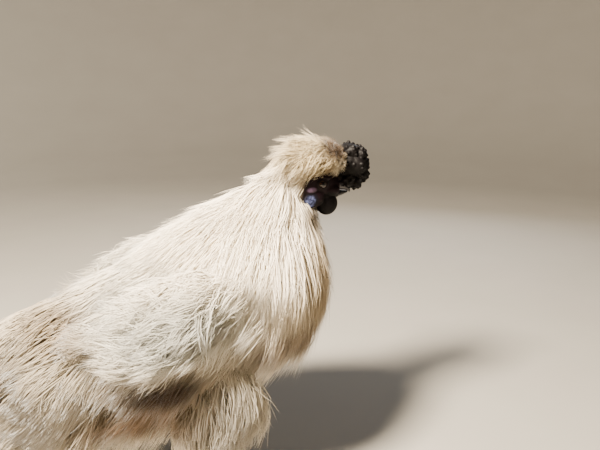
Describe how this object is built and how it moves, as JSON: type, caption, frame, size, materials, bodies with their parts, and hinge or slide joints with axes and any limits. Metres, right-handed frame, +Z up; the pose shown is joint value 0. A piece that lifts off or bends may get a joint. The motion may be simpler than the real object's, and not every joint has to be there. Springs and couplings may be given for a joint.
{
  "type": "silkie rooster model",
  "caption": "Still, life-size silkie rooster standing tall, with a silky cape, crest, lobed comb, low tail and five-toed feet.",
  "frame": {"origin": "on the floor under the middle of the bird's bounding box", "axes": "+X the way the beak points, +Y to the bird's left, +Z up"},
  "size_m": [0.4672, 0.2144, 0.3689],
  "materials": {
    "plumage": "soft, silky plumage, cream white",
    "crest": "soft, silky plumage, stained straw",
    "face": "fine-grained bare skin, mulberry black",
    "comb": "knobbly bare skin, black",
    "earlobe": "smooth moist skin, slate blue",
    "beak": "horn, slate black",
    "eye": "wet, black",
    "leg": "scaled skin, slate",
    "claw": "horn, grey"
  },
  "bodies": {
    "root": {"head": "face", "eye_right": "eye", "eye_left": "eye", "beak_upper": "beak", "beak_lower": "beak", "comb": "comb", "wattle_right": "face", "wattle_left": "face", "earlobe_right": "earlobe", "earlobe_left": "earlobe", "crest": "crest", "neck": "plumage", "torso": "plumage", "tail": "plumage", "wing_right": "plumage", "wing_left": "plumage", "thigh_right": "plumage", "thigh_left": "plumage", "foot_right": "leg", "foot_left": "leg", "claw_right_inner": "claw", "claw_right_middle": "claw", "claw_right_outer": "claw", "claw_right_hind": "claw", "claw_right_fifth": "claw", "claw_left_inner": "claw", "claw_left_middle": "claw", "claw_left_outer": "claw", "claw_left_hind": "claw", "claw_left_fifth": "claw"}
  },
  "joints": []
}
